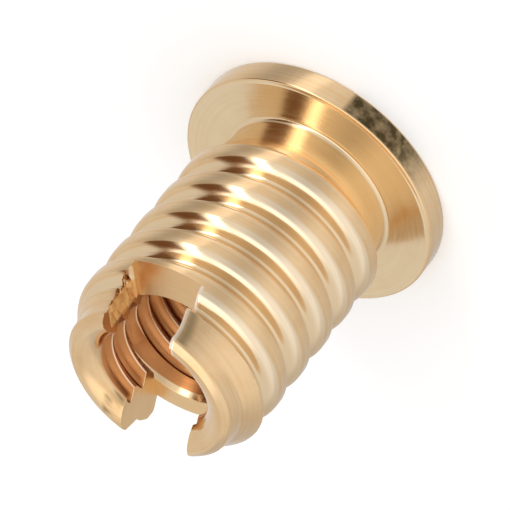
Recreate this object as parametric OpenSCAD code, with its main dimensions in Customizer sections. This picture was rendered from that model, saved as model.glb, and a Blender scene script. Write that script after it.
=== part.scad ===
// Flanged threaded insert nut, turned from brass bar.
// A coarse outer thread bites into the workpiece, the flange stops it at the surface,
// and a machine thread in the through bore takes the bolt. A slot across the far end
// takes the driver. The part stands on the outer face of its flange, axis along +Z.

/* [Barrel] */
// Length over all, flange face to slotted end
total_l = 19; // [17:0.5:24]
// Crest diameter of the outer thread
crest_d = 12.5; // [12:0.1:13.5]
// Root diameter of the outer thread
root_d = 10.8; // [10.6:0.1:11.2]
// Pitch of the outer thread
outer_pitch = 2.5; // [2.2:0.1:2.8]
// Width of the rounded crest
crest_w = 0.2; // [0.1:0.02:0.5]
// Height of the thread's lead, the bevel that thins it out towards the slotted end
lead_h = 1.2; // [0.8:0.1:1.6]
// Height of the plain end beyond the lead
plain_h = 1.2; // [1:0.1:1.8]
// Diameter of the plain end where its end bevel starts
plain_d = 10.45; // [10.2:0.05:10.55]
// Bevel round the slotted end
end_bevel = 0.35; // [0.2:0.05:0.5]

/* [Flange] */
// Diameter of the flange
flange_d = 16.4; // [15:0.1:20]
// Thickness of the flange
flange_t = 1.6; // [1.2:0.1:2.5]
// Bevel round both edges of the rim
rim_bevel = 0.15; // [0.1:0.05:0.4]
// Diameter of the neck between flange and thread
neck_d = 10.5; // [10:0.1:10.6]
// Radius of the fillet between neck and flange
neck_fillet = 0.3; // [0.1:0.05:0.5]
// Height of bare neck between flange and thread
neck_h = 1.1; // [0.8:0.1:1.6]

/* [Bore] */
// Diameter of the bore, at the crests of its thread
bore_d = 6.8; // [6.4:0.1:7.2]
// Diameter of the countersink at the slotted end
mouth_d = 8.4; // [7.8:0.1:9]
// Depth of the countersink at the slotted end
mouth_h = 1.1; // [0.6:0.1:1.5]
// Bevel where the bore opens in the flange
bore_bevel = 0.5; // [0.3:0.05:0.8]

/* [Slot] */
// Width of the driving slot
slot_w = 4.4; // [2:0.1:5]
// Depth of the driving slot
slot_h = 3.6; // [2:0.1:4.5]

/* [Hidden] */
$fn = 96;

// Straight steps in one turn of the thread, and in one flank of its section
turn_steps = 40;
flank_steps = 5;
// Angle round the part at which the thread grows out of the neck, and over which it grows
start_angle = 119.5;
run_in = 100;
// Depth to which the thread's foot is sunk in the core, and its lead ends below the skin
embed = 0.6;
lead_sink = 0.1;
// Gap between the feet of neighbouring turns
foot_gap = 0.1;
// How far cuts run past a face
over = 1;

crest_r = crest_d / 2;
root_r = root_d / 2;
neck_r = neck_d / 2;
plain_r = plain_d / 2;
bore_r = bore_d / 2;
flange_r = flange_d / 2;

// Section of the thread: a smooth wave from a foot just inside the core up to the crest
foot_r = root_r - lead_sink;
half_w = (outer_pitch - foot_gap) / 2;
function wave_z(k) = sign(k) * (crest_w / 2 + abs(k) / flank_steps * (half_w - crest_w / 2));
function wave_r(k) = foot_r + (crest_r - foot_r) * (1 + cos(180 * abs(k) / flank_steps)) / 2;

// Its outline as [radius, height], from the lower foot over the crest to the upper foot
thread_outline = concat(
    [[foot_r - embed, -half_w]],
    [for (k = [-flank_steps : -1]) [wave_r(k), wave_z(k)]],
    [[crest_r, -crest_w / 2], [crest_r, crest_w / 2]],
    [for (k = [1 : flank_steps]) [wave_r(k), wave_z(k)]],
    [[foot_r - embed, half_w]]
);

// Lead: where it starts, where it meets the core, and the radius it leaves at a height
lead_z = total_l - plain_h - lead_h;
lead_slope = (crest_r - foot_r) / lead_h;
lead_top = lead_z + (crest_r - root_r) / lead_slope;
function lead_r(z) = max(plain_r - embed, crest_r - (z - lead_z) * lead_slope);

// Heights past lead_top are drawn together, so that the thread ends inside the core
function drawn_in(z) = z < lead_top ? z : lead_top + (z - lead_top) * 0.1;

// The helix: height of the first crest, and the turn after which the last flank is gone
first_z = flange_t + neck_h;
turns = (lead_top + half_w - first_z) / outer_pitch;

// How far the thread has grown out of the neck at an angle past its start, from 0 to 1
start_r = neck_r - lead_sink;
function grown(a) = min(1, a / run_in);

// One point of the thread: outline point p = [radius, height], angle a past the start
function thread_point(p, a) =
    let (
        z = drawn_in(first_z + outer_pitch * a / 360 + p[1]),
        full_r = start_r + (p[0] - start_r) * grown(a),
        r = p[0] < foot_r ? p[0] : min(full_r, lead_r(z))
    )
    [r * cos(start_angle + a), r * sin(start_angle + a), z];

// One solid through rows of points that each go once round the same outline
module swept(rows) {
    n = len(rows[0]);
    last = (len(rows) - 1) * n;
    sides = [
        for (i = [0 : len(rows) - 2], j = [0 : n - 1])
            let (a = i * n + j, b = i * n + (j + 1) % n)
            each [[a, b, b + n], [a, b + n, a + n]]
    ];
    start_cap = [for (j = [1 : n - 2]) [0, j + 1, j]];
    end_cap = [for (j = [1 : n - 2]) [last, last + j, last + j + 1]];
    polyhedron(
        points = [for (row = rows) each row],
        faces = concat(sides, start_cap, end_cap),
        convexity = 20
    );
}

// Flange, neck and core of the barrel, as one turned profile
module turned_body() {
    rotate_extrude() polygon([
        [0, 0],
        [flange_r - rim_bevel, 0],
        [flange_r, rim_bevel],
        [flange_r, flange_t - rim_bevel],
        [flange_r - rim_bevel, flange_t],
        for (a = [270 : -15 : 180])
            [neck_r + neck_fillet * (1 + cos(a)), flange_t + neck_fillet * (1 + sin(a))],
        [neck_r, first_z],
        [root_r, first_z + outer_pitch / 4],
        [root_r, total_l - plain_h],
        [plain_r, total_l - end_bevel],
        [plain_r - end_bevel, total_l],
        [0, total_l]
    ]);
}

module outer_thread() {
    n = ceil(turns * turn_steps);
    swept([
        for (i = [0 : n])
            let (a = 360 * turns * i / n)
            [for (p = thread_outline) thread_point(p, a)]
    ]);
}

module bore() {
    translate([0, 0, -over]) cylinder(h = total_l + 2 * over, r = bore_r);
    translate([0, 0, total_l - mouth_h]) cylinder(h = mouth_h, r1 = bore_r, r2 = mouth_d / 2);
    translate([0, 0, total_l]) cylinder(h = over, r = mouth_d / 2);
    cylinder(h = bore_bevel, r1 = bore_r + bore_bevel, r2 = bore_r);
    translate([0, 0, -over]) cylinder(h = over, r = bore_r + bore_bevel);
}

// Slot right across the end, its length along Y
module driving_slot() {
    translate([-slot_w / 2, -crest_r - over, total_l - slot_h])
        cube([slot_w, crest_d + 2 * over, slot_h + over]);
}

module insert_nut() {
    color("#d9b56c") difference() {
        union() {
            turned_body();
            outer_thread();
        }
        bore();
        driving_slot();
    }
}

insert_nut();
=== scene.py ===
from math import atan2, cos, floor, pi, radians, sin, sqrt, tan

import bmesh
import bpy
from mathutils import Matrix, Vector, noise


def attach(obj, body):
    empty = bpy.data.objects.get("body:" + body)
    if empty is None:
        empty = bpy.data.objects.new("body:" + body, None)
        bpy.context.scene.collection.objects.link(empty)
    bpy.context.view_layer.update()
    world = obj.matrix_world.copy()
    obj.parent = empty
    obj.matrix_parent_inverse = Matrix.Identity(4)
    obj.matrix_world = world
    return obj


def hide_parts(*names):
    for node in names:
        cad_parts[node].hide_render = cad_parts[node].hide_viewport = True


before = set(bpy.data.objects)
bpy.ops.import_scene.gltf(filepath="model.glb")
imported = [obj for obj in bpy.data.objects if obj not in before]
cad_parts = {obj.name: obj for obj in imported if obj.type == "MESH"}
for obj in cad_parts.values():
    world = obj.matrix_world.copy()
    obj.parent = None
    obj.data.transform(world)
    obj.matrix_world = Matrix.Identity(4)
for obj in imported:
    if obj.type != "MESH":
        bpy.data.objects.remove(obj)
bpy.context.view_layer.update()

# ---------------------------------------------------------------- sizes, in millimetres
MM = 0.001

LENGTH = 19.0            # over all, flange face to slotted end
CREST_R = 6.26           # outer thread
ROOT_R = 5.4
PITCH = 2.5
CREST_AT_ZERO = 16.87    # height of one crest at angle 0
START_Z = 2.7            # height at which the thread grows out of the neck
RUN_IN = 100.0           # degrees over which it grows
TURN_STEPS = 180         # straight steps in one turn
PITCH_POINTS = 32        # and along one pitch
CUTTER_STEPS = 172       # the cutters' own, because a cut leaves holes where steps coincide
TURNS = 9                # turns of wall, from below the flange to above the slotted end
TURNS_BELOW = 7          # how many of them lie below CREST_AT_ZERO
ROOT_PLACE = 0.63        # where the root lies between two crests, as a share of the pitch
FLANK_SWELL = 2.5        # how far the flank towards the slot bulges out before it falls

NECK_R = 5.25
NECK_FILLET = 0.3
FLANGE_R = 8.2
FLANGE_T = 1.6
RIM_ROUND = 0.12
# the shallow ridge that the parting tool left near the rim, as (radius, height above the face)
RIM_RIDGE = [(7.80, 0.0), (7.88, 0.03), (7.96, 0.0)]

LEAD_Z = 16.6            # the thread thins out from here, down to the plain end at PILOT_Z
PILOT_Z = 17.8
PILOT_R = 5.38
PILOT_SLOPE = 0.18
LEAD_BLEND = 0.06        # rounds the corner between the thread and its lead
END_Z = 18.6             # where the round of the slotted end starts
END_ROUND = [(5.262, 18.63), (5.262, 18.66), (5.235, 18.70), (5.17, 18.76), (5.08, 18.84),
             (4.98, 18.92), (4.87, 19.0)]
OFF_AXIS = 0.08          # the plain end is turned this far off the thread's axis,
OFF_ANGLE = 50           # towards this angle, counted backwards

BORE_R = 3.4             # crests of the inner thread
GROOVE_R = 3.98
BORE_PITCH = 1.25
BORE_AT_ZERO = 0.13
BORE_STEPS = 120
TAP_TURNS = 17
TAP_Z = (-0.6, 18.1)     # the tap's two ends
# one pitch of the tap, as (radius, height)
TAP = [(BORE_R, 0.0), (BORE_R, 0.05), (3.44, 0.11), (3.62, 0.28), (3.80, 0.42), (3.94, 0.54),
       (GROOVE_R, 0.625), (3.94, 0.71), (3.80, 0.83), (3.62, 0.97), (3.44, 1.14), (BORE_R, 1.20),
       (BORE_R, BORE_PITCH)]
MOUTH_R = 4.5
# the rounded mouth, the deburred edge at the foot of the slot and the bevelled lip at the
# flange, as (radius, height), axis to axis
MOUTH = [(0.0, 17.7), (3.36, 17.7), (3.44, 18.0), (3.56, 18.26), (3.72, 18.48), (3.92, 18.68),
         (4.12, 18.82), (4.32, 18.93), (MOUTH_R, 19.005), (MOUTH_R, 19.5), (0.0, 19.5)]
DEBURR = [(0.0, 14.3), (3.2, 14.3), (4.03, 15.41), (0.0, 15.41)]
DEBURR_OFF = (0, -0.25, 0)   # it was done by hand, a little to one side
LIP = [(0.0, -0.5), (3.91, -0.5), (3.91, -0.01), (3.35, 0.55), (0.0, 0.55)]

SLOT_W = 4.4
SLOT_Z = 15.4            # floor of the slot
SLOT_REACH = 16          # length of its cutter
SLOT_RISE = 6            # and its height
TORN_Y = (3.3, 5.9)      # stretch of one slot wall that the mill tore,
TORN_Z = (SLOT_Z + 0.3, 18.2)
TORN_CUTS = 46           # and how finely that wall is divided
CHIP_DEEP = (0.03, 0.16, 0.3)    # depth of the chips: least, mean and swing
BURR_R = (0.06, 0.035)   # radius of the burr: mean and swing
BURR_LEAST = 0.02
BURR_STEP = 0.12
SAME = 0.001             # points closer than this are one
SHARP_ANGLE = 32         # an edge that turns more than this, in degrees, is a real corner


# ---------------------------------------------------------------- small helpers
def smooth_min(a, b, k):
    """The lesser of two numbers, with the corner between them rounded over k."""
    h = max(k - abs(a - b), 0.0) / k
    return min(a, b) - h * h * k / 4


def radius(co):
    return sqrt(co.x * co.x + co.y * co.y)


def set_ring(verts, r, z):
    """Puts a ring of vertices on a circle of radius r at height z, keeping their angles."""
    for v in verts:
        k = r / radius(v.co)
        v.co.x *= k
        v.co.y *= k
        v.co.z = z


def spun_thread(points, pitch, steps, turns):
    """A wall of thread: one pitch of its profile spun once about Z, rising, and stacked."""
    bm = bmesh.new()
    verts = [bm.verts.new((r, 0.0, z)) for r, z in points]
    edges = [bm.edges.new(pair) for pair in zip(verts, verts[1:])]
    bmesh.ops.spin(
        bm, geom=verts + edges, cent=(0, 0, 0), axis=(0, 0, 1),
        dvec=(0, 0, pitch / steps), angle=2 * pi, steps=steps)
    one = bm.verts[:] + bm.edges[:] + bm.faces[:]
    for turn in range(1, turns):
        copy = bmesh.ops.duplicate(bm, geom=one)["geom"]
        bmesh.ops.translate(bm, verts=[g for g in copy if isinstance(g, bmesh.types.BMVert)],
                            vec=(0, 0, pitch * turn))
    bmesh.ops.remove_doubles(bm, verts=bm.verts, dist=SAME)
    return bm


def cut_level(bm, z, keep_above):
    """Cuts the wall off at height z, and keeps what is above or below."""
    bmesh.ops.bisect_plane(
        bm, geom=bm.verts[:] + bm.edges[:] + bm.faces[:], dist=2 * SAME,
        plane_co=(0, 0, z), plane_no=(0, 0, 1),
        clear_inner=keep_above, clear_outer=not keep_above)
    for v in bm.verts:
        if abs(v.co.z - z) < 3 * SAME:
            v.co.z = z
    bmesh.ops.remove_doubles(bm, verts=bm.verts, dist=SAME)


def rim_edges(bm, z):
    """The open edges that lie at height z."""
    return [e for e in bm.edges if e.is_boundary
            and all(abs(v.co.z - z) < 3 * SAME for v in e.verts)]


def grow_rings(bm, edges, rings):
    """Extrudes a round rim through a row of (radius, height) and returns the last rim."""
    for r, z in rings:
        out = bmesh.ops.extrude_edge_only(bm, edges=edges)["geom"]
        edges = [g for g in out if isinstance(g, bmesh.types.BMEdge) and g.is_boundary]
        set_ring({v for e in edges for v in e.verts}, r, z)
    return edges


def arc(cr, cz, r, a0, a1, n):
    """Points of a round in the profile, as (radius, height), from angle a0 to a1."""
    return [(cr + r * cos(radians(a0 + (a1 - a0) * i / n)),
             cz + r * sin(radians(a0 + (a1 - a0) * i / n))) for i in range(n + 1)]


# ---------------------------------------------------------------- the nut's outside
def skin_r(angle, z):
    """Radius of the turned skin at an angle in degrees and a height."""
    crest = CREST_AT_ZERO + PITCH * angle / 360
    along = (z - crest) / PITCH
    turn = floor(along + 1 - ROOT_PLACE)
    along -= floor(along)
    if along < ROOT_PLACE:
        sweep = (along / ROOT_PLACE) ** FLANK_SWELL
    else:
        sweep = (1 - along) / (1 - ROOT_PLACE)
    wave = (1 + cos(pi * sweep)) / 2
    grown = min(1.0, max(0.0, (crest + turn * PITCH - START_Z) / PITCH * 360 / RUN_IN))
    grown = grown * grown * (3 - 2 * grown)
    r = NECK_R + (ROOT_R + (CREST_R - ROOT_R) * wave - NECK_R) * grown
    if z > LEAD_Z - 0.5:
        off = OFF_AXIS * cos(radians(angle + OFF_ANGLE))
        lead = CREST_R - (z - LEAD_Z) * (CREST_R - PILOT_R) / (PILOT_Z - LEAD_Z)
        plain = PILOT_R - (z - PILOT_Z) * PILOT_SLOPE
        r = smooth_min(r, max(lead, plain) + off, LEAD_BLEND)
    return r


def outside():
    """The turned skin from rim to slotted end, open at both ends."""
    low = CREST_AT_ZERO - TURNS_BELOW * PITCH
    column = [(CREST_R, low + PITCH * (i / PITCH_POINTS - 0.5)) for i in range(PITCH_POINTS + 1)]
    bm = spun_thread(column, PITCH, TURN_STEPS, TURNS)
    for v in bm.verts:
        k = skin_r(atan2(v.co.y, v.co.x) * 180 / pi, v.co.z) / radius(v.co)
        v.co.x *= k
        v.co.y *= k
    foot = FLANGE_T + NECK_FILLET
    cut_level(bm, foot, True)
    cut_level(bm, END_Z, False)
    grow_rings(bm, rim_edges(bm, END_Z), END_ROUND)
    rim = FLANGE_R - RIM_ROUND
    grow_rings(bm, rim_edges(bm, foot),
               arc(NECK_R + NECK_FILLET, foot, NECK_FILLET, 180, 270, 6)[1:]
               + [(r, FLANGE_T + rise) for r, rise in RIM_RIDGE]
               + arc(rim, FLANGE_T - RIM_ROUND, RIM_ROUND, 90, 0, 4)
               + arc(rim, RIM_ROUND, RIM_ROUND, 0, -90, 4))
    return bm


def close_holes(bm):
    """Caps every open rim."""
    bmesh.ops.holes_fill(bm, edges=[e for e in bm.edges if e.is_boundary], sides=0)


def new_object(name, bm):
    """Turns a bmesh into an object, in the bmesh's own measure."""
    bmesh.ops.recalc_face_normals(bm, faces=bm.faces)
    mesh = bpy.data.meshes.new(name)
    bm.to_mesh(mesh)
    bm.free()
    made = bpy.data.objects.new(name, mesh)
    bpy.context.scene.collection.objects.link(made)
    return made


def blank():
    """The nut before anything is cut out of it."""
    bm = outside()
    close_holes(bm)
    return new_object("insert_nut_turned", bm)


# ---------------------------------------------------------------- what is cut out of it
def turned_cutter(name, profile):
    """A solid of revolution from a row of (radius, height) that starts and ends on the axis."""
    bm = bmesh.new()
    verts = [bm.verts.new((r, 0.0, z)) for r, z in profile]
    edges = [bm.edges.new(pair) for pair in zip(verts, verts[1:])]
    bmesh.ops.spin(bm, geom=verts + edges, cent=(0, 0, 0), axis=(0, 0, 1), angle=2 * pi,
                   steps=CUTTER_STEPS, use_merge=True)
    bmesh.ops.remove_doubles(bm, verts=bm.verts, dist=SAME)
    return new_object(name, bm)


def tap():
    """The threaded rod that is cut out of the bore."""
    bm = spun_thread(TAP, BORE_PITCH, BORE_STEPS, TAP_TURNS)
    bmesh.ops.translate(bm, verts=bm.verts, vec=(0, 0, BORE_AT_ZERO - BORE_PITCH))
    cut_level(bm, TAP_Z[0], True)
    cut_level(bm, TAP_Z[1], False)
    close_holes(bm)
    return new_object("tap", bm)


def slot_cutter():
    """The slot, as a mill leaves it: true on three sides, with metal torn from one wall."""
    bm = bmesh.new()
    bmesh.ops.create_cube(bm, size=1.0)
    bmesh.ops.scale(bm, verts=bm.verts, vec=(SLOT_W, SLOT_REACH, SLOT_RISE))
    bmesh.ops.translate(bm, verts=bm.verts, vec=(0, 0, SLOT_Z + SLOT_RISE / 2))
    wall = [e for e in bm.edges if all(v.co.x < 0 for v in e.verts)]
    bmesh.ops.subdivide_edges(bm, edges=wall, cuts=TORN_CUTS, use_grid_fill=True)
    least, mean, swing = CHIP_DEEP
    for v in bm.verts:
        x, y, z = v.co
        if x < 0 and TORN_Y[0] < y < TORN_Y[1] and TORN_Z[0] < z < TORN_Z[1]:
            # chips of about 0.7 mm, and smaller ones of about 0.3 mm on them
            coarse = noise.noise((y * 1.5, z * 1.4, 4.2))
            fine = noise.noise((y * 3.6, z * 3.4, 9.1))
            v.co.x -= max(least, mean + swing * (coarse + 0.8 * fine))
    bmesh.ops.triangulate(bm, faces=bm.faces)
    return new_object("slot_cutter", bm)


def cut_away(piece, cutter):
    """Takes the cutter out of the piece for good."""
    cut = piece.modifiers.new("cut", "BOOLEAN")
    cut.operation = "DIFFERENCE"
    cut.solver = "EXACT"
    cut.object = cutter
    graph = bpy.context.evaluated_depsgraph_get()
    mesh = bpy.data.meshes.new_from_object(piece.evaluated_get(graph))
    old = piece.data
    piece.modifiers.clear()
    piece.data = mesh
    bpy.data.meshes.remove(old)
    bpy.data.objects.remove(cutter)


# ---------------------------------------------------------------- the burr
def burr():
    """The thread of metal that the mill pushed up along one edge of the slot, made bright by a
    painted highlight.
    """
    x = SLOT_W / 2
    path = []
    z = SLOT_Z + 0.05
    while z < END_Z:
        y = 5.0
        for _ in range(4):       # closes in on the point where the slot's wall meets the skin
            r = skin_r(atan2(y, x) * 180 / pi, z)
            y = sqrt(r * r - x * x)
        path.append(Vector((x, y, z)))
        z += BURR_STEP
    path += [Vector((x, sqrt(r * r - x * x), z)) for r, z in END_ROUND]
    last = len(path) - 1
    mean, swing = BURR_R
    bm = bmesh.new()
    ring = None
    for i, point in enumerate(path):
        swell = mean + swing * noise.noise((i * 0.37, 2.0, 5.0))
        ahead = path[min(i + 1, last)] - path[max(i - 1, 0)]
        turn = ahead.to_track_quat("Z", "X").to_matrix().to_4x4()
        lift = Vector((-0.02, 0.02, 0.01)) * (1 + noise.noise((i * 0.6, 7.0, 1.0)))
        made = bmesh.ops.create_circle(
            bm, cap_ends=i in (0, last), segments=8, radius=max(swell, BURR_LEAST),
            matrix=Matrix.Translation(point + lift) @ turn)["verts"]
        rim = list(dict.fromkeys(e for v in made for e in v.link_edges))
        if ring:
            bmesh.ops.bridge_loops(bm, edges=ring + rim)
        ring = rim
    return new_object("slot_burr", bm)


# ---------------------------------------------------------------- the pieces
piece = blank()
cut_away(piece, tap())
deburr = turned_cutter("deburr_cutter", DEBURR)
deburr.data.transform(Matrix.Translation(DEBURR_OFF))
cut_away(piece, deburr)
cut_away(piece, turned_cutter("mouth_cutter", MOUTH))
cut_away(piece, turned_cutter("lip_cutter", LIP))
cut_away(piece, slot_cutter())
pieces = [piece, burr()]
for made in pieces:
    made.data.transform(Matrix.Scale(MM, 4))
    made.data.polygons.foreach_set("use_smooth", [True] * len(made.data.polygons))
    made.data.set_sharp_from_angle(angle=radians(SHARP_ANGLE))
    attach(made, "root")
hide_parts("insert_nut")


# ---------------------------------------------------------------- finish
def hexcol(text):
    """sRGB hex to linear."""
    def lin(c):
        return c / 12.92 if c <= 0.04045 else ((c + 0.055) / 1.055) ** 2.4
    return tuple(lin(int(text[i:i + 2], 16) / 255) for i in (1, 3, 5)) + (1.0,)


def add(tree, kind, *feeds, out=None, **settings):
    """Adds a node with its settings and returns its first open output, or the one named by out.
    The feeds fill its open inputs in turn: a socket is linked, a number or a hex colour is set,
    and None leaves the input as it is."""
    node = tree.nodes.new("ShaderNode" + kind)
    for key, value in settings.items():
        setattr(node, key, value)
    for socket, feed in zip([s for s in node.inputs if s.enabled], feeds):
        if isinstance(feed, bpy.types.NodeSocket):
            tree.links.new(feed, socket)
        elif feed is not None:
            socket.default_value = hexcol(feed) if isinstance(feed, str) else feed
    return next(s for s in node.outputs if s.enabled and out in (None, s.name))


def zone(tree, *limits):
    """A share that is 1 within all of its limits. A limit is a measure with its low edge, its
    high edge and the width over which each of them eases, or a share made before."""
    share = None
    for limit in limits:
        if isinstance(limit, tuple):
            value, low, high, soft = limit
            past_low, past_high = (
                add(tree, "MapRange", value, edge - soft / 2, edge + soft / 2,
                    interpolation_type="SMOOTHSTEP") for edge in (low, high))
            limit = add(tree, "Math", past_low, past_high, operation="SUBTRACT")
        share = limit if share is None else add(
            tree, "Math", share, limit, operation="MULTIPLY")
    return share


# Real tool rings are 0.05 mm apart, too fine to show, so these are drawn about 0.2 and 0.1 mm
# apart. The three numbers are their changes in each millimetre along x, along y and across.
RING_SCALE = (0.12, 0.12, 6.0)
FINE_RING_SCALE = (0.5, 0.5, 14.0)
CLOUD_SCALE = 0.55       # changes in each millimetre, as is the next
MOTTLE_SCALE = 1.7
RELIEF_DEPTH = 0.03      # of the rings, in millimetres
FAR = 100.0              # stands for no limit


def turned_brass():
    """Free-cutting brass, turned and left bright: the tool leaves fine rings that blur each
    reflection across them, the tapped bore and the milled slot stay duller, and the bore is
    painted darker and redder as shade."""
    brass = bpy.data.materials.new("turned_brass")
    brass.use_nodes = True
    tree = brass.node_tree
    shader = tree.nodes["Principled BSDF"]

    # where a point lies: in millimetres, round the axis, and within one turn of the thread
    where = add(tree, "TexCoord", out="Object")
    in_mm = add(tree, "VectorMath", where, 1 / MM, operation="SCALE")
    x, y, z = (add(tree, "SeparateXYZ", in_mm, out=name) for name in "XYZ")
    x_squared = add(tree, "Math", x, x, operation="MULTIPLY")
    off_axis = add(tree, "Math", y, y, x_squared, operation="MULTIPLY_ADD")
    off_axis = add(tree, "Math", off_axis, operation="SQRT")
    across = add(tree, "Math", x, operation="ABSOLUTE")
    angle = add(tree, "Math", y, x, operation="ARCTAN2")
    turn = add(tree, "Math", angle, 2 * pi, operation="DIVIDE")
    degrees = add(tree, "Math", angle, 180 / pi, operation="MULTIPLY")
    # 0 on the crest and up to half a pitch either way, with the root at ROOT_PLACE - 1
    place = add(tree, "Math", z, CREST_AT_ZERO, operation="SUBTRACT")
    place = add(tree, "Math", place, PITCH, operation="DIVIDE")
    place = add(tree, "Math", place, turn, operation="SUBTRACT")
    place = add(tree, "Math", place, 0.5, operation="ADD")
    place = add(tree, "Math", place, 1.0, 0.0, operation="WRAP")
    place = add(tree, "Math", place, 0.5, operation="SUBTRACT")

    on_thread = zone(tree, (z, 3.6, LEAD_Z + 0.3, 0.6), (off_axis, 5.3, 7.0, 0.02))
    # painted shade: the bore is drawn darker and redder, all but the crests of its thread
    # the bore ends lower between the walls of the slot than beside them
    low_bore = zone(tree, (z, 0.3, SLOT_Z - 0.03, 0.02))
    high_bore = zone(tree, (across, SLOT_W / 2 + 0.03, 9.0, 0.02), (z, 0.3, TAP_Z[1], 0.5))
    in_bore = zone(tree, add(tree, "Math", low_bore, high_bore, operation="MAXIMUM"),
                   (off_axis, -1.0, GROOVE_R + 0.05, 0.04))
    in_slot = zone(tree, (across, -1.0, SLOT_W / 2 + 0.03, 0.02), (z, SLOT_Z - 0.04, FAR, 0.02))

    # The rings follow the helix on the thread, and elsewhere run square to the axis.
    helix = add(tree, "Math", place, PITCH, operation="MULTIPLY")
    square = add(tree, "Math", off_axis, -0.8, z, operation="MULTIPLY_ADD")
    ring_at = add(tree, "Mix", on_thread, square, helix)
    ring_space = add(tree, "CombineXYZ", x, y, ring_at)
    rings, fine_rings = (
        add(tree, "TexNoise", add(tree, "VectorMath", ring_space, scale, operation="MULTIPLY"),
            1.0, detail, 0.6)
        for scale, detail in ((RING_SCALE, 3.0), (FINE_RING_SCALE, 2.0)))
    cloud = add(tree, "TexNoise", in_mm, CLOUD_SCALE, 3.0, 0.55)
    mottle = add(tree, "TexNoise", in_mm, MOTTLE_SCALE, 4.0, 0.6)

    cloudy = add(tree, "MapRange", cloud, 0.45, 0.7)
    # painted highlight: a pale strip on the flank, on one side of the nut only; and painted
    # light: a paler colour in the roots and at the neck, which offsets the deeper colour where
    # brass mirrors brass
    painted_highlight_strip = zone(tree, (place, 0.29, 0.48, 0.08), (angle, -0.2, 1.5, 0.9), on_thread)
    # painted light: the roots are drawn paler, to offset the colour that brass mirroring brass
    # deepens
    root = zone(tree, add(tree, "Math", zone(tree, (place, -0.6, -0.15, 0.12)),
                          zone(tree, (place, 0.45, 0.6, 0.04)), operation="MAXIMUM"), on_thread)
    # painted light: the neck is drawn paler in the same way, and a little rougher
    neck = zone(tree, (z, FLANGE_T - 0.1, 3.3, 0.15), (off_axis, 5.0, 8.1, 0.1))
    # the crests of the inner thread are left out of that painted shade and kept pale
    tap_crest = zone(tree, in_bore, (off_axis, 3.0, BORE_R + 0.05, 0.04))
    torn = zone(tree, (x, -3.2, -SLOT_W / 2 + 0.02, 0.02), (y, *TORN_Y, 0.1),
                (z, SLOT_Z + 0.2, 18.35, 0.1), (off_axis, 0.0, 5.15, 0.05))
    # painted highlight: a near-white strip along the burr and the edge of the slot beside it
    painted_burr_highlight = zone(tree, (x, SLOT_W / 2 - 0.12, SLOT_W / 2 + 0.12, 0.03), (y, 3.6, 6.6, 0.1),
                (z, SLOT_Z, FAR, 0.05))
    # darker patches beside that edge, and beside the far end of the other one
    edge_patch = zone(tree, (x, 2.3, 2.85, 0.5), (y, 3.4, 6.0, 0.2), (z, 16.95, 18.55, 0.1))
    end_patch = zone(tree, (x, -3.3, -2.3, 0.3), (y, -3.4, -2.2, 0.5), (z, 18.2, 19.1, 0.1),
                  add(tree, "MapRange", fine_rings, 0.4, 0.55, 0.3, 1.0))
    dark_patches = add(tree, "Math", edge_patch, end_patch, operation="MAXIMUM")
    # a painted dark reflection on one stretch of the rim, which ends sharply on one side
    painted_dark_reflection = zone(tree, (off_axis, FLANGE_R - 0.06, FLANGE_R + 1, 0.02),
                   (z, 0.1, FLANGE_T - 0.08, 0.1),
                   (degrees, 30.0, 100.0, 24.0), (degrees, -50.0, 68.0, 3.0),
                   add(tree, "MapRange", mottle, 0.4, 0.7, 1.0, 0.6))

    colour = add(tree, "Mix", add(tree, "MapRange", rings, 0.3, 0.7), "#e8c190", "#f0d2a8",
                 data_type="RGBA")
    dull = add(tree, "MapRange", fine_rings, 0.3, 0.7, 0.09, 0.2)
    # each finish, or painted light or shade: where, how far it covers the skin, its colour, and
    # how much rougher it is
    for share, cover, hue, rougher in (
            (cloudy, 0.35, "#dfb27c", 0.0),
            (painted_highlight_strip, 0.55, "#fff3dc", 0.0),
            (root, 0.65, "#ecd5b2", 0.0),
            (neck, 0.6, "#efdab6", 0.04),
            (in_slot, 0.6, "#ecc793", 0.22),
            (in_bore, 0.95, "#bb7a46", 0.16),
            (tap_crest, 1.0, "#f3cfae", 0.0),
            (torn, 0.95, "#f0b870", 0.4),
            (painted_burr_highlight, 0.9, "#ffe9d4", 0.0),
            (dark_patches, 0.75, "#8c7653", 0.0),
            (painted_dark_reflection, 1.0, "#54472e", 0.2)):
        covered = add(tree, "Math", share, cover, operation="MULTIPLY")
        colour = add(tree, "Mix", covered, colour, hue, data_type="RGBA")
        if rougher:
            dull = add(tree, "Math", share, rougher, dull, operation="MULTIPLY_ADD")
    tree.links.new(colour, shader.inputs["Base Color"])
    tree.links.new(dull, shader.inputs["Roughness"])
    # torn brass is crumbled so small that it scatters light like a dull solid
    metal = add(tree, "Math", torn, -0.65, 1.0, operation="MULTIPLY_ADD")
    tree.links.new(metal, shader.inputs["Metallic"])

    relief = add(tree, "Math", rings, 0.6, operation="MULTIPLY")
    relief = add(tree, "Math", fine_rings, 0.4, relief, operation="MULTIPLY_ADD")
    bump = add(tree, "Bump", None, None, None, relief).node
    bump.inputs["Strength"].default_value = 0.1
    bump.inputs["Distance"].default_value = RELIEF_DEPTH * MM
    tree.links.new(bump.outputs["Normal"], shader.inputs["Normal"])
    return brass


brass = turned_brass()
for made in pieces:
    made.data.materials.clear()
    made.data.materials.append(brass)


# ---------------------------------------------------------------- floor and light
FLOOR_HALF = 1.5         # metres
PAPER_LIFT = 0.1         # lifts the paper to white for the camera alone
TENT = 0.79              # brightness of the pale tent round the part
# Reaches in degrees, as from, to and softness: round the part, and then above the table.
ALL_ROUND = (-400, 400, 1)
OVERHEAD = (52, 200, 16)
UPRIGHT = (-200, 52, 16)
TABLE_HIGH = (-200, 14, 14)
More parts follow.
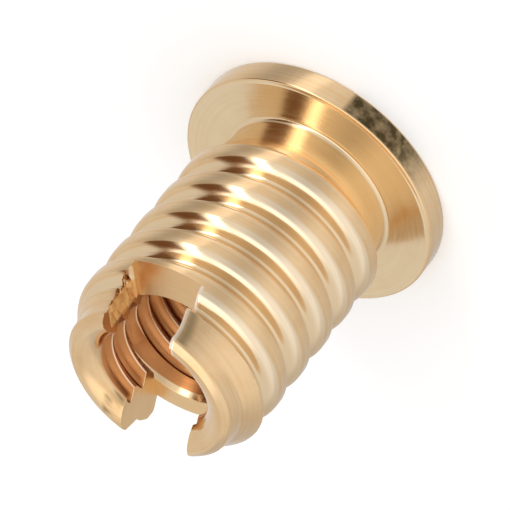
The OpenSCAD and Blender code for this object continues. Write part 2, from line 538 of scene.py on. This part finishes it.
# What hangs in the tent: its azimuths, its elevations, and how much it adds to the tent's
# brightness or takes from it. They are set by the bands that a real piece shows.
PANELS = {
    "ceiling": (ALL_ROUND, OVERHEAD, 0.14),
    "ceiling panel": ((-79, 161, 115), OVERHEAD, 0.53),
    "key strip, top": ((105, 155, 6), OVERHEAD, 0.61),
    "key strip": ((104, 122, 8), UPRIGHT, 0.42),
    "pale wall": ((-45, 106, 100), UPRIGHT, 0.22),
    "gap in the wall": ((41, 77, 55), UPRIGHT, -0.43),
    "dim side, near": ((128, 158, 46), TABLE_HIGH, -0.37),
    "dim side, far": ((-115, 9, 43), TABLE_HIGH, -0.18),
}
CARD = ((127, 161, 9), (14, 55, 6))      # a brown card among the panels
CARD_HUE = "#ab7a52"
CARD_DIMS = 0.5

# the key lamp stands before the key strip: place and size in degrees, then metres
KEY_AZIMUTH, KEY_ELEVATION, KEY_WIDE, KEY_HIGH = 112, 28, 15, 56
KEY_FAR = 0.3
KEY_GAIN = 1.6


def paper_floor():
    """A sheet of matt white paper, bright to the camera and with the part's shadow on it."""
    paper = bpy.data.materials.new("white_paper")
    paper.use_nodes = True
    tree = paper.node_tree
    shader = tree.nodes["Principled BSDF"]
    shader.inputs["Base Color"].default_value = hexcol("#fafafa")
    shader.inputs["Roughness"].default_value = 0.9
    shader.inputs["Emission Color"].default_value = hexcol("#ffffff")
    camera_ray = add(tree, "LightPath", out="Is Camera Ray")
    lift = add(tree, "Math", camera_ray, PAPER_LIFT, operation="MULTIPLY")
    tree.links.new(lift, shader.inputs["Emission Strength"])

    bm = bmesh.new()
    bmesh.ops.create_grid(bm, x_segments=1, y_segments=1, size=FLOOR_HALF)
    sheet = new_object("floor", bm)
    sheet.data.materials.append(paper)
    sheet.visible_glossy = False


def tent():
    """The pale tent with its panels, which the brass mirrors and the camera sees as white."""
    world = bpy.data.worlds.new("tent")
    bpy.context.scene.world = world
    world.use_nodes = True
    tree = world.node_tree
    way = add(tree, "TexCoord", out="Generated")
    x, y, z = (add(tree, "SeparateXYZ", way, out=name) for name in "XYZ")
    azimuth = add(tree, "Math", y, x, operation="ARCTAN2")
    azimuth = add(tree, "Math", azimuth, 180 / pi, operation="MULTIPLY")
    elevation = add(tree, "Math", z, operation="ARCSINE")
    elevation = add(tree, "Math", elevation, 180 / pi, operation="MULTIPLY")
    glow = TENT
    for azimuths, elevations, gain in PANELS.values():
        panel = zone(tree, (azimuth, *azimuths), (elevation, *elevations))
        glow = add(tree, "Math", panel, gain, glow, operation="MULTIPLY_ADD")
    card = zone(tree, (azimuth, *CARD[0]), (elevation, *CARD[1]))
    dimmed = add(tree, "Math", card, -CARD_DIMS, 1.0, operation="MULTIPLY_ADD")
    glow = add(tree, "Math", glow, dimmed, operation="MULTIPLY")
    tint = add(tree, "Mix", card, "#ffffff", CARD_HUE, data_type="RGBA")
    camera_ray = add(tree, "LightPath", out="Is Camera Ray")
    air = tree.nodes["Background"]
    tree.links.new(add(tree, "Mix", camera_ray, tint, "#ffffff", data_type="RGBA"),
                   air.inputs["Color"])
    tree.links.new(add(tree, "Mix", camera_ray, glow, 1.0), air.inputs["Strength"])


def toward(azimuth, elevation, far):
    """The point that lies far metres from the part's middle, at an azimuth and an elevation."""
    a, e = radians(azimuth), radians(elevation)
    return Vector((far * cos(e) * cos(a), far * cos(e) * sin(a), far * sin(e) + LENGTH * MM / 2))


def key_lamp():
    """A soft box that covers the key strip as the part sees it."""
    lamp = bpy.data.lights.new("key", "AREA")
    lamp.shape = "RECTANGLE"
    lamp.size = 2 * KEY_FAR * tan(radians(KEY_WIDE / 2)) * cos(radians(KEY_ELEVATION))
    lamp.size_y = 2 * KEY_FAR * tan(radians(KEY_HIGH / 2))
    lamp.energy = KEY_GAIN * lamp.size * lamp.size_y * pi
    box = bpy.data.objects.new("key", lamp)
    box.location = toward(KEY_AZIMUTH, KEY_ELEVATION, KEY_FAR)
    beam = toward(KEY_AZIMUTH, KEY_ELEVATION, -KEY_FAR) - box.location
    box.rotation_euler = beam.to_track_quat("-Z", "Y").to_euler()
    bpy.context.scene.collection.objects.link(box)


paper_floor()
tent()
key_lamp()

# ---------------------------------------------------------------- camera
EYE = Vector((82.60, 137.46, 118.28)) * MM
AIM = Vector((-1.85, -3.10, 4.89)) * MM
ROLL = -140.9            # degrees; the part lies aslant in the view
LENS = 241.5             # millimetres, on a sensor that is SENSOR wide
SENSOR = 36.0
NEAR = 0.005             # metres

camera = bpy.data.objects.new("camera", bpy.data.cameras.new("camera"))
bpy.context.scene.collection.objects.link(camera)
look = (AIM - EYE).to_track_quat("-Z", "Y").to_matrix().to_4x4()
camera.matrix_world = Matrix.Translation(EYE) @ look @ Matrix.Rotation(radians(ROLL), 4, "Z")
camera.data.sensor_width = SENSOR
camera.data.lens = LENS
camera.data.clip_start = NEAR
bpy.context.scene.camera = camera

bpy.context.scene.view_settings.view_transform = "Standard"
